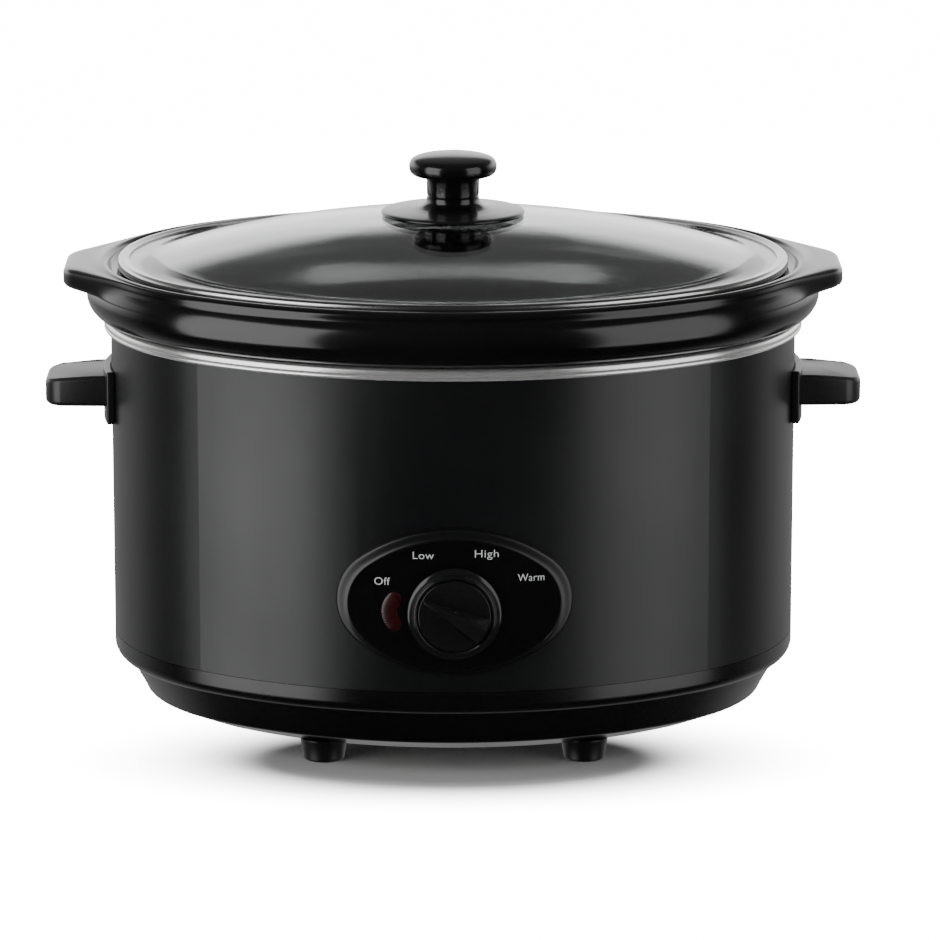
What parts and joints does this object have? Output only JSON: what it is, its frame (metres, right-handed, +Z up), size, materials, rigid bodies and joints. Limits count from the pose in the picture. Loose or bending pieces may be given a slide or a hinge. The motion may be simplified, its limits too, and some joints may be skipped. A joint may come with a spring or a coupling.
{
  "type": "slow cooker",
  "caption": "Oval countertop slow cooker: painted shell on a black base, lift-out glazed crock with lugs, domed glass lid with knob, and a rotary heat control with pilot lens.",
  "frame": {"origin": "on the surface the feet stand on, under the middle of the whole cooker's box", "axes": "+X to the right seen from the front, +Y towards the back, +Z up"},
  "size_m": [0.3988, 0.2946, 0.2835],
  "materials": {
    "foot_rubber": "matt moulded rubber",
    "zinc_screws": "zinc plated",
    "base_black": "semi-gloss black moulding",
    "shell_paint": "satin black powder paint on sheet steel",
    "polished_trim": "polished rolled steel",
    "well_steel": "pressed aluminium",
    "heater_foil": "foil faced heater band",
    "fuse_brass": "plain brass",
    "ceramic_block": "white terminal moulding",
    "wire_sleeve": "heat-proof sleeve",
    "handle_black": "satin moulded black",
    "panel_gloss": "gloss black",
    "lens_red": "dark red translucent lens",
    "lamp_glass": "neon lamp",
    "switch_body": "thermoset switch body",
    "knob_black": "satin gloss black",
    "black_glaze": "black glazed stoneware",
    "lid_glass": "toughened glass",
    "lid_steel": "brushed steel rim",
    "silicone": "silicone washer",
    "lid_knob_gloss": "gloss black phenolic"
  },
  "bodies": {
    "base": {"foot_front_left": "foot_rubber", "foot_front_right": "foot_rubber", "foot_rear_left": "foot_rubber", "foot_rear_right": "foot_rubber", "foot_screws": "zinc_screws", "base_pan": "base_black", "shell": "shell_paint", "rim_trim": "polished_trim", "heating_well": "well_steel", "well_stud": "zinc_screws", "stud_nut": "zinc_screws", "heater_band": "heater_foil", "band_clamp": "zinc_screws", "thermal_fuse": "fuse_brass", "fuse_clip": "zinc_screws", "terminal_block": "ceramic_block", "block_screw": "zinc_screws", "earth_screw": "fuse_brass", "wires": "wire_sleeve", "cord_gland": "foot_rubber", "handle_left": "handle_black", "handle_right": "handle_black", "handle_screws": "zinc_screws", "panel": "panel_gloss", "panel_clips": "zinc_screws", "pilot_lens": "lens_red", "pilot_lamp": "lamp_glass", "rotary_switch": "switch_body", "switch_nut": "zinc_screws"},
    "crock": {"crock": "black_glaze"},
    "lid": {"lid_glass": "lid_glass", "lid_rim": "lid_steel", "lid_seal": "silicone", "lid_knob_base": "lid_knob_gloss", "lid_knob": "lid_knob_gloss", "lid_knob_screw": "zinc_screws", "lid_screw_washer": "zinc_screws"},
    "dial": {"switch_shaft": "zinc_screws", "control_knob": "knob_black"}
  },
  "joints": [
    {"name": "crock_lift", "type": "slide", "parent": "base", "child": "crock", "axis": [0, 0, 1], "range_m": [0, 0.18]},
    {"name": "lid_lift", "type": "slide", "parent": "crock", "child": "lid", "axis": [0, 0, 1], "range_m": [0, 0.06]},
    {"name": "dial_turn", "type": "hinge", "parent": "base", "child": "dial", "pos_m": [0, -0.12875, 0.0868], "axis": [0, 1, 0], "range_deg": [0, 126]}
  ]
}
